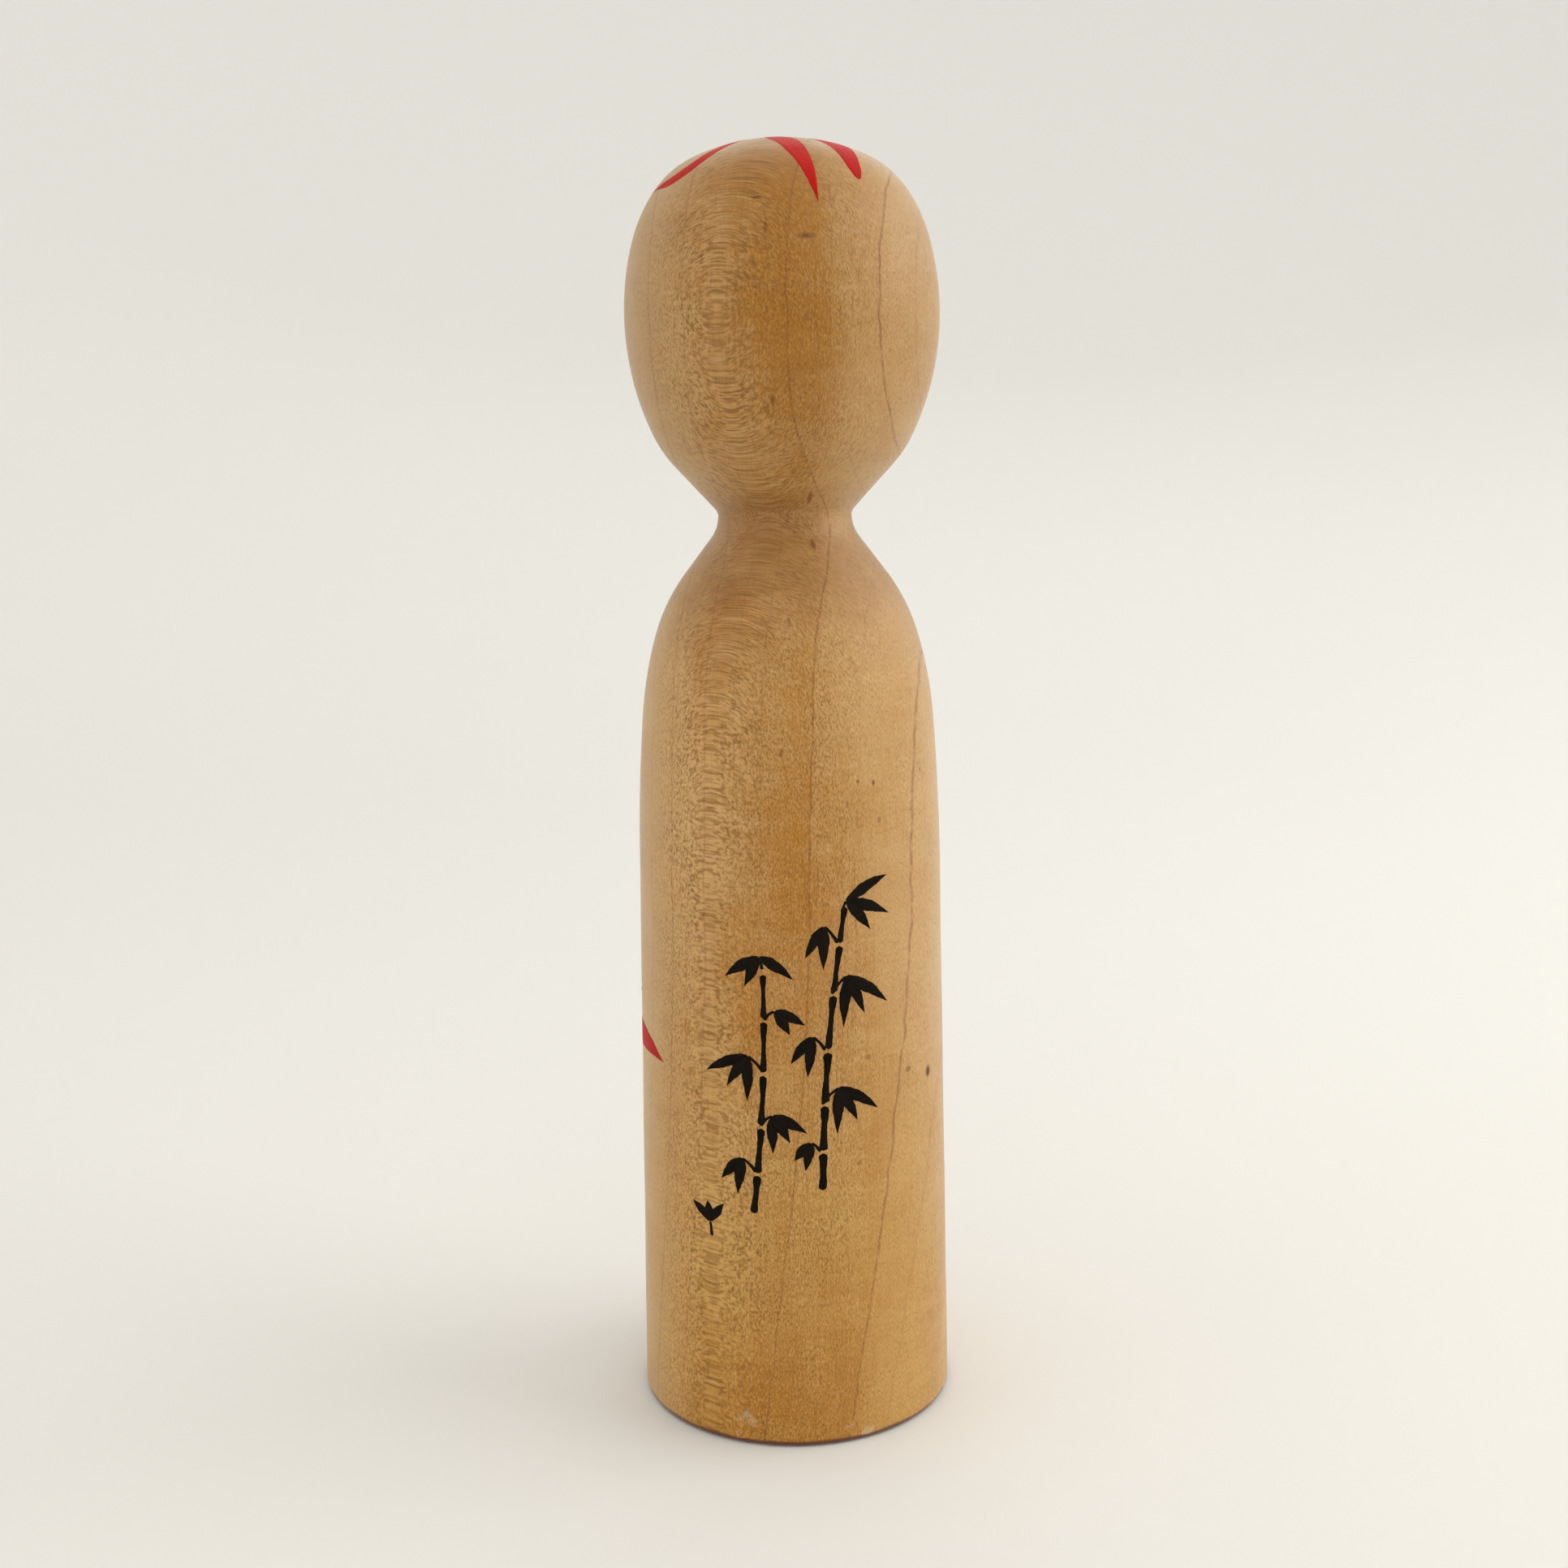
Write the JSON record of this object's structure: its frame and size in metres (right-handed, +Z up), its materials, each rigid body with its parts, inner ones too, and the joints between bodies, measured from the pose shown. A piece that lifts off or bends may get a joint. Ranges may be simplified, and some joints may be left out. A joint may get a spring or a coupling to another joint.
{
  "type": "kokeshi doll",
  "caption": "Free-standing turned wooden kokeshi doll of one blank, with a round head on a slim tapered body, painted with brush strokes for hair, face, robe flowers and ink bamboo",
  "frame": {"origin": "centre of the base, on the surface it stands on", "axes": "+Z up along the turning axis; the painted face looks along -Y; +X is the doll's own left side"},
  "size_m": [0.0611, 0.0612, 0.2414],
  "materials": {
    "maple": "waxed satin maple, aged to honey brown",
    "red_dye": "thin translucent red dye brushed on bare wood and waxed over",
    "black_ink": "black ink brushed on bare wood and waxed over",
    "green_dye": "thin translucent green dye brushed on bare wood and waxed over",
    "sumi_ink": "brown-black ink, slightly dry at the stroke ends"
  },
  "bodies": {
    "root": {"turned_figure": "maple", "bamboo_shoot": "sumi_ink", "bamboo_short": "sumi_ink", "bamboo_tall": "sumi_ink", "brow_left": "black_ink", "brow_right": "black_ink", "collar_left": "red_dye", "collar_right": "red_dye", "crown_ribbon_back_left": "red_dye", "crown_ribbon_back_right": "red_dye", "crown_ribbon_front_left": "red_dye", "crown_ribbon_front_right": "red_dye", "crown_ribbon_side_left": "red_dye", "crown_ribbon_side_right": "red_dye", "eye_left": "black_ink", "eye_right": "black_ink", "forelock": "black_ink", "grass": "green_dye", "long_petal_left": "red_dye", "long_petal_right": "red_dye", "lower_bloom": "red_dye", "lower_leaves": "green_dye", "mouth": "red_dye", "nose": "black_ink", "sidelock_left": "black_ink", "sidelock_right": "black_ink", "stem": "green_dye", "upper_bloom": "red_dye", "upper_leaves": "green_dye"}
  },
  "joints": []
}
